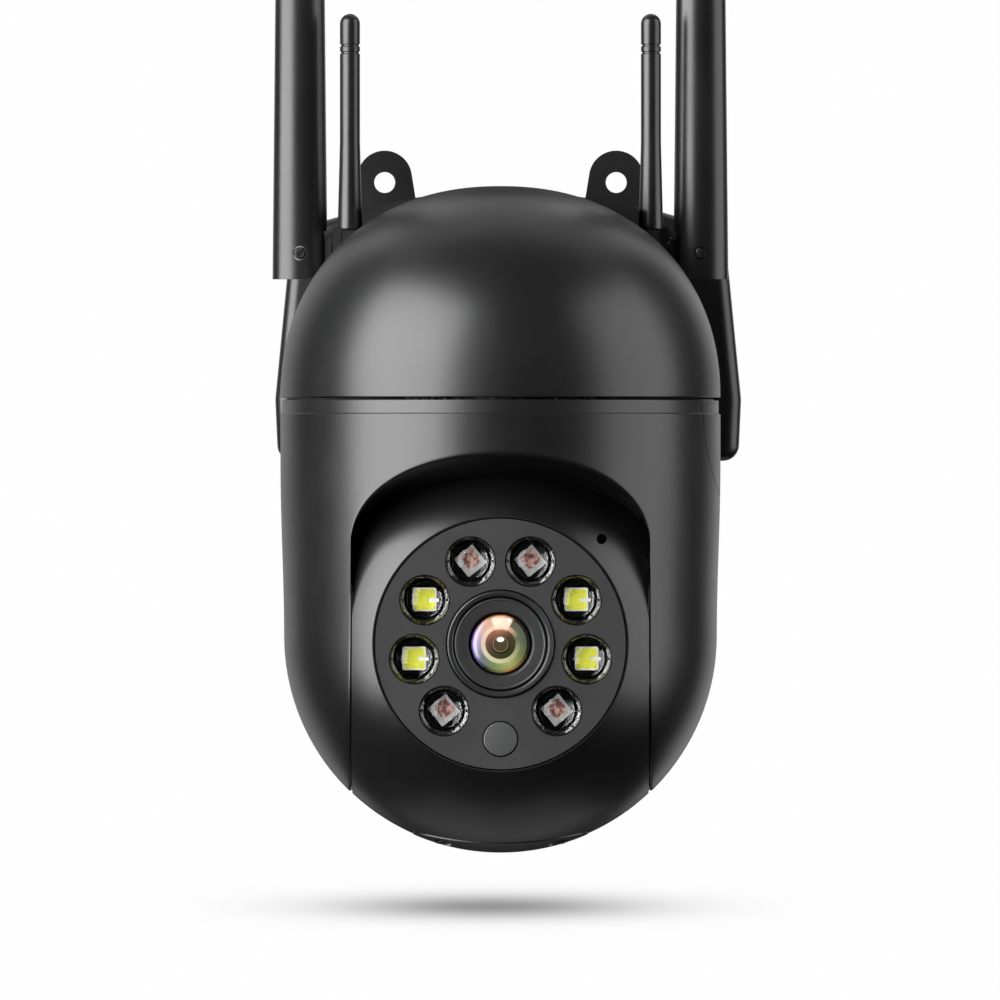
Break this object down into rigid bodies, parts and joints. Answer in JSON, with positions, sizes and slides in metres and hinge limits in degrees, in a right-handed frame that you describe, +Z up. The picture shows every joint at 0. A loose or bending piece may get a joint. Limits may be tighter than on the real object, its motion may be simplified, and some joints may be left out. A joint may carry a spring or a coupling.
{
  "type": "security camera",
  "caption": "Wall-mounted pan and tilt dome security camera with a ring of lamps round its lens and folding blade antennas",
  "frame": {"origin": "on the wall, at the back face of the wall plate, level with the seam between the dome cover and the turning body", "axes": "+Z up, +Y into the wall, so the lens looks along -Y; +X is the camera's side with the access cover"},
  "size_m": [0.1027, 0.1263, 0.2372],
  "materials": {
    "black_plastic": "fine satin moulded black",
    "panel_plastic": "matt dark grey",
    "rubber": "matt",
    "steel": "zinc plated or drawn",
    "board": "green solder mask",
    "white_nylon": "natural acetal",
    "clear_resin": "clear moulded resin",
    "coated_glass": "ground and coated",
    "filter_glass": "infra-red cut coating"
  },
  "bodies": {
    "base": {"wall_plate": "black_plastic", "plate_screw_left": "steel", "plate_screw_right": "steel", "bracket_housing": "black_plastic", "cable_gland": "rubber", "dome_cover": "black_plastic", "bracket_arm": "black_plastic", "dome_floor": "black_plastic", "dome_seal": "rubber", "main_board": "board", "pan_motor": "steel", "pan_bearing": "steel", "antenna_mount_left": "black_plastic", "antenna_mount_right": "black_plastic", "rod_antenna_left": "black_plastic", "rod_antenna_right": "black_plastic"},
    "pinion": {"pan_pinion": "white_nylon"},
    "pan_body": {"pan_shell": "black_plastic", "pan_turntable": "white_nylon", "pan_retainer": "steel", "side_access_cover": "black_plastic", "yoke_cheek_left": "black_plastic", "yoke_cheek_right": "black_plastic", "tilt_shaft": "steel", "trunnion_bush_left": "white_nylon", "speaker": "steel"},
    "head": {"head_front_shell": "black_plastic", "head_rear_shell": "black_plastic", "front_panel": "panel_plastic", "panel_gasket": "rubber", "lens_trim_ring": "black_plastic", "lens_barrel": "black_plastic", "lens_glass": "coated_glass", "led_board": "board", "led_lens_1": "clear_resin", "led_lens_2": "clear_resin", "led_lens_3": "clear_resin", "led_lens_4": "clear_resin", "led_lens_5": "clear_resin", "led_lens_6": "clear_resin", "led_lens_7": "clear_resin", "led_lens_8": "clear_resin", "light_sensor_window": "panel_plastic", "lens_mount": "black_plastic", "image_sensor_board": "board", "tilt_motor": "steel", "microphone": "steel", "card_cover": "black_plastic", "card_cover_screw_left": "steel", "card_cover_screw_right": "steel", "card_board": "board"},
    "filter": {"ir_cut_filter": "filter_glass"},
    "reset": {"reset_button": "white_nylon"},
    "knuckle_left": {"antenna_knuckle_left": "black_plastic"},
    "knuckle_right": {"antenna_knuckle_right": "black_plastic"},
    "blade_left": {"blade_antenna_left": "black_plastic", "antenna_pin_left": "steel"},
    "blade_right": {"blade_antenna_right": "black_plastic", "antenna_pin_right": "steel"}
  },
  "joints": [
    {"name": "pan", "type": "hinge", "parent": "base", "child": "pan_body", "pos_m": [0, -0.0783, 0], "axis": [0, 0, 1], "range_deg": [-177.5, 177.5]},
    {"name": "pan_pinion_spin", "type": "hinge", "parent": "base", "child": "pinion", "pos_m": [0, -0.10345, 0], "axis": [0, 0, 1], "range_deg": [-715, 715]},
    {"name": "tilt", "type": "hinge", "parent": "pan_body", "child": "head", "pos_m": [0, -0.0783, -0.0518], "axis": [1, 0, 0], "range_deg": [-15, 90]},
    {"name": "ir_cut_slide", "type": "slide", "parent": "head", "child": "filter", "axis": [1, 0, 0], "range_m": [0, 0.0046]},
    {"name": "reset_press", "type": "slide", "parent": "head", "child": "reset", "axis": [0, -0.0419, 0.9991], "range_m": [0, 0.0004], "stiffness_N_per_m": 300},
    {"name": "antenna_swivel_left", "type": "hinge", "parent": "base", "child": "knuckle_left", "pos_m": [-0.0369, -0.0493, 0.0319], "axis": [1, 0, 0], "range_deg": [-22, 75]},
    {"name": "antenna_elbow_left", "type": "hinge", "parent": "knuckle_left", "child": "blade_left", "pos_m": [-0.04385, -0.0493, 0.0319], "axis": [0, -1, 0], "range_deg": [0, 90]},
    {"name": "antenna_swivel_right", "type": "hinge", "parent": "base", "child": "knuckle_right", "pos_m": [0.0369, -0.0493, 0.0319], "axis": [1, 0, 0], "range_deg": [-22, 75]},
    {"name": "antenna_elbow_right", "type": "hinge", "parent": "knuckle_right", "child": "blade_right", "pos_m": [0.04385, -0.0493, 0.0319], "axis": [0, 1, 0], "range_deg": [0, 90]}
  ],
  "couplings": [
    {"joint": "pan_pinion_spin", "follows": "pan", "ratio": -4}
  ]
}
